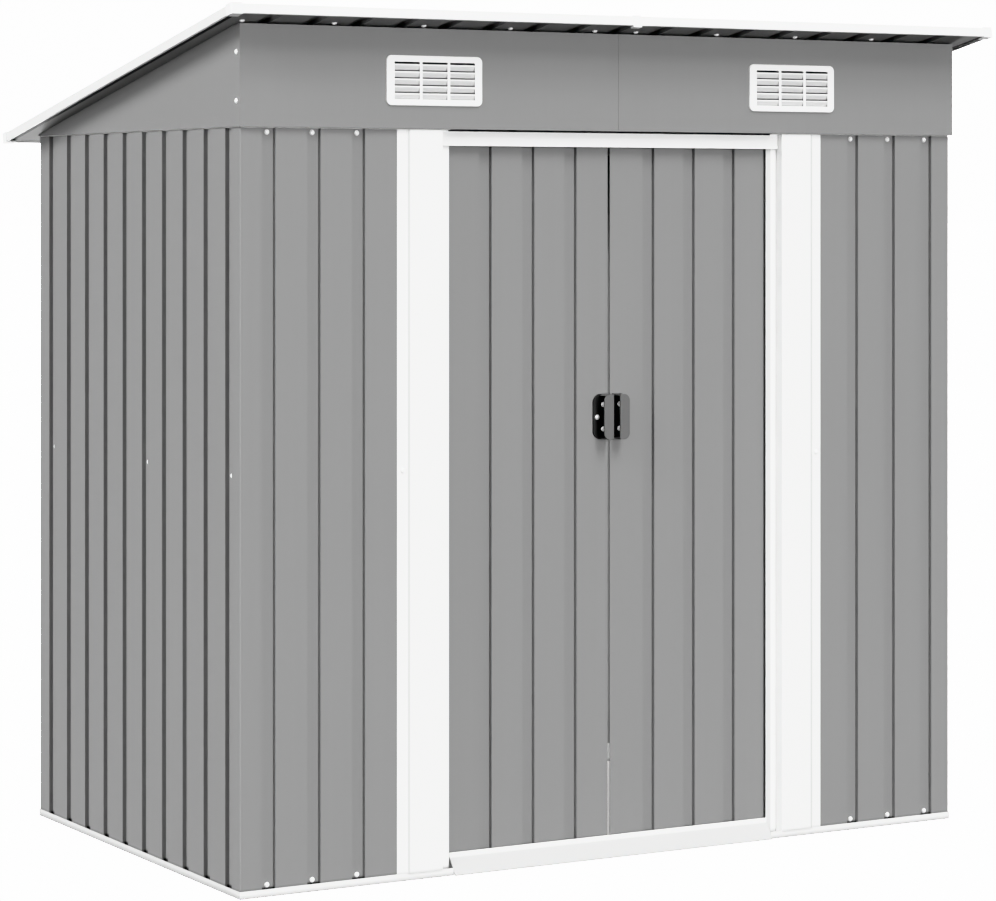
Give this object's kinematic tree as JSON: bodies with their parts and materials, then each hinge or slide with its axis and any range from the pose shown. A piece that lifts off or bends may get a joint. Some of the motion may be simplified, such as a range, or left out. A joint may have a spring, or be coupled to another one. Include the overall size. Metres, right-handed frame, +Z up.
{
  "type": "metal storage shed",
  "caption": "Ribbed sheet-metal garden shed with a pent roof, white edge trims, louvred fascia vents and a pair of sliding doors with pull handles.",
  "frame": {"origin": "on the ground, under the middle of the plan box of the whole shed", "axes": "+Z up, the doors face -Y, +X to the right as seen from the front"},
  "size_m": [1.9148, 1.2478, 1.8146],
  "materials": {
    "panel_grey": "satin powder coat",
    "trim_white": "satin powder coat",
    "frame_steel": "galvanised",
    "plastic_white": "moulded",
    "handle_black": "moulded",
    "handle_grey": "moulded",
    "slide_plastic": "moulded"
  },
  "bodies": {
    "shed": {"door_sill": "trim_white", "front_left_base_rail": "trim_white", "front_left_fascia": "panel_grey", "front_left_roof_trim": "trim_white", "front_left_wall": "panel_grey", "front_right_base_rail": "trim_white", "front_right_fascia": "panel_grey", "front_right_roof_trim": "trim_white", "front_right_wall": "panel_grey", "front_top_rail": "trim_white", "left_base_rail": "trim_white", "left_door_jamb": "trim_white", "left_gable": "panel_grey", "left_middle_rail": "frame_steel", "left_roof_panel": "panel_grey", "left_roof_trim": "trim_white", "left_top_rail": "trim_white", "left_vent": "plastic_white", "lower_door_track": "frame_steel", "rear_base_rail": "trim_white", "rear_left_wall": "panel_grey", "rear_middle_rail": "frame_steel", "rear_middle_wall": "panel_grey", "rear_right_wall": "panel_grey", "rear_roof_trim": "trim_white", "rear_top_rail": "trim_white", "right_base_rail": "trim_white", "right_door_jamb": "trim_white", "right_gable": "panel_grey", "right_middle_rail": "frame_steel", "right_roof_panel": "panel_grey", "right_roof_trim": "trim_white", "right_top_rail": "trim_white", "right_vent": "plastic_white", "roof_beam": "frame_steel", "roof_trim_caps": "plastic_white", "upper_door_track": "frame_steel"},
    "left_door": {"left_door_braces": "frame_steel", "left_door_handle_grip": "handle_grey", "left_door_handle_plate": "handle_black", "left_door_panel": "panel_grey", "left_door_slides": "slide_plastic"},
    "right_door": {"right_door_braces": "frame_steel", "right_door_handle_grip": "handle_grey", "right_door_handle_plate": "handle_black", "right_door_panel": "panel_grey", "right_door_slides": "slide_plastic"}
  },
  "joints": [
    {"name": "left_door_slide", "type": "slide", "parent": "shed", "child": "left_door", "axis": [-1, 0, 0], "range_m": [0, 0.35]},
    {"name": "right_door_slide", "type": "slide", "parent": "shed", "child": "right_door", "axis": [1, 0, 0], "range_m": [0, 0.35]}
  ]
}
